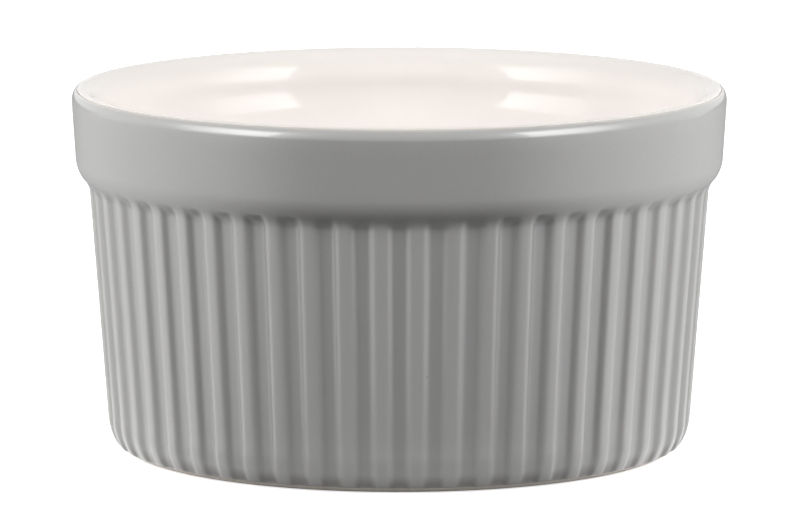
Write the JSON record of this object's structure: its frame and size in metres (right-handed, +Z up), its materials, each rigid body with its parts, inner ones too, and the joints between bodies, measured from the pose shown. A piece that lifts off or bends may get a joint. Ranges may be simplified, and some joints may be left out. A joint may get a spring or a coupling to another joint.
{
  "type": "fluted ramekin",
  "caption": "Round single-portion baking dish of glazed stoneware with a plain rim band, a fluted tapering wall and a bare foot ring.",
  "frame": {"origin": "on the table under the centre of the dish, in the plane of the foot ring", "axes": "+Z up along the dish's axis of revolution; -Y is the front, which a valley of the flutes faces"},
  "size_m": [0.09, 0.09, 0.05],
  "materials": {
    "bare_stoneware": "unglazed, matt",
    "grey_glaze": "satin glaze",
    "white_glaze": "gloss glaze"
  },
  "bodies": {
    "root": {"stoneware_body": "bare_stoneware", "outer_glaze": "grey_glaze", "inner_glaze": "white_glaze", "base_glaze": "grey_glaze"}
  },
  "joints": []
}
